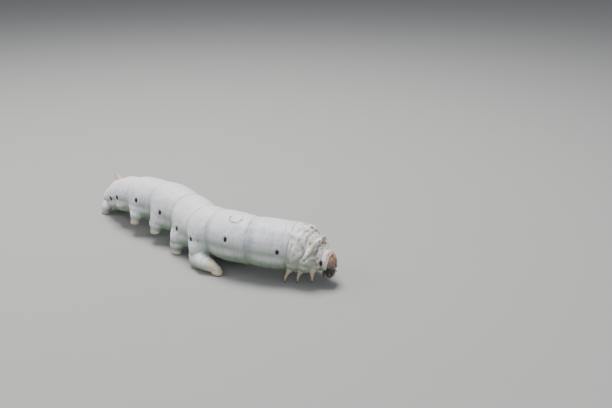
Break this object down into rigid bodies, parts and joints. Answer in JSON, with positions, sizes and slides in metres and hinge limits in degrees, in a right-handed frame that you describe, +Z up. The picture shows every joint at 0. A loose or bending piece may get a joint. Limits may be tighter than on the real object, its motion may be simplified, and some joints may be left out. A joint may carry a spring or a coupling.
{
  "type": "silkworm",
  "caption": "Full-grown silkworm larva standing with a bent body, a wrinkled hump behind a small brown head, soft prolegs and a short tail horn.",
  "frame": {"origin": "middle of the larva's bounding box, on the floor", "axes": "+X towards the head, +Z up, +Y to the larva's left"},
  "size_m": [0.0718, 0.0196, 0.0133],
  "materials": {
    "skin": "satin, finely wrinkled",
    "belly": "satin, translucent cream",
    "leg": "translucent tan",
    "capsule": "polished brown",
    "jaw": "polished dark brown",
    "eye": "polished black",
    "horn": "matte"
  },
  "bodies": {
    "root": {"prothorax": "skin", "mesothorax": "skin", "metathorax": "skin", "abdomen_1": "skin", "abdomen_2": "skin", "abdomen_3": "skin", "abdomen_4": "skin", "abdomen_5": "skin", "abdomen_6": "skin", "abdomen_7": "skin", "abdomen_8": "skin", "abdomen_9": "skin", "abdomen_10": "skin", "proleg_3_right": "belly", "proleg_3_left": "belly", "proleg_4_right": "belly", "proleg_4_left": "belly", "proleg_5_right": "belly", "proleg_5_left": "belly", "proleg_6_right": "belly", "proleg_6_left": "belly", "clasper_right": "belly", "clasper_left": "belly", "leg_1_right": "leg", "leg_1_left": "leg", "leg_2_right": "leg", "leg_2_left": "leg", "leg_3_right": "leg", "leg_3_left": "leg", "horn": "horn", "head": "capsule", "upper_lip": "jaw", "eye_right": "eye", "jaw_right": "jaw", "palp_right": "leg", "antenna_right": "leg", "eye_left": "eye", "jaw_left": "jaw", "palp_left": "leg", "antenna_left": "leg", "lower_lip": "leg"}
  },
  "joints": []
}
